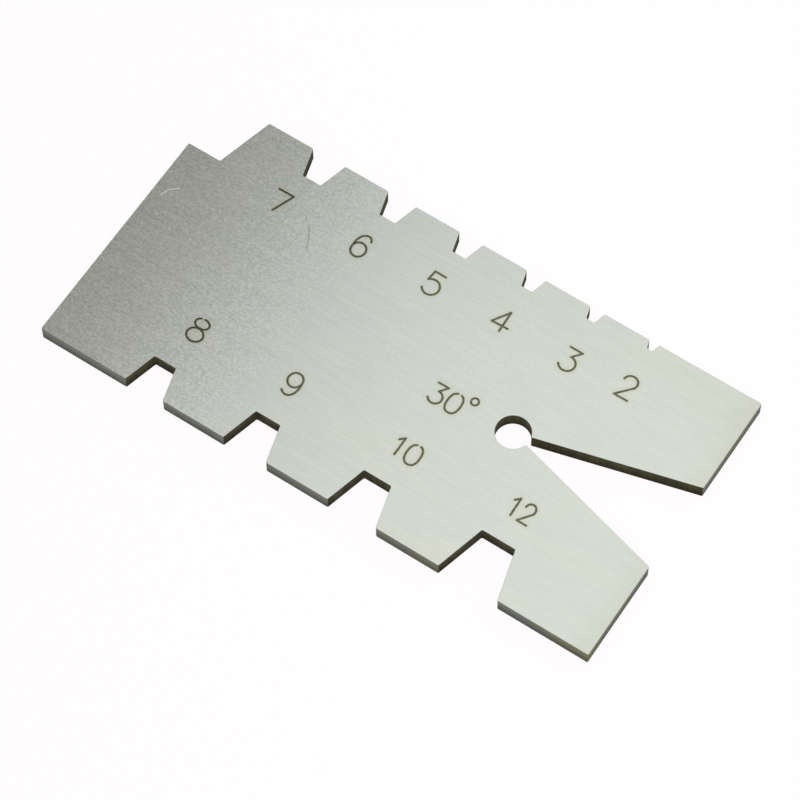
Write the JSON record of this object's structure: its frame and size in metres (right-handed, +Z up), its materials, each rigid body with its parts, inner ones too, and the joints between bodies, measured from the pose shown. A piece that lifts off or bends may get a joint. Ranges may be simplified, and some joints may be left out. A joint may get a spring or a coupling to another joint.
{
  "type": "trapezoidal thread gauge",
  "caption": "Flat steel template with sloping-sided notches along both long edges and an angle opening at one end, for checking thread-cutting tools.",
  "frame": {"origin": "under the middle of the plate, on the surface that it lies on", "axes": "+X along the plate towards the end with the angle opening, +Y towards the edge with the smaller notches, +Z up through the marked face"},
  "size_m": [0.07, 0.035, 0.002],
  "materials": {
    "ground_steel": "ground along its length, satin"
  },
  "bodies": {
    "root": {"gauge_plate": "ground_steel"}
  },
  "joints": []
}
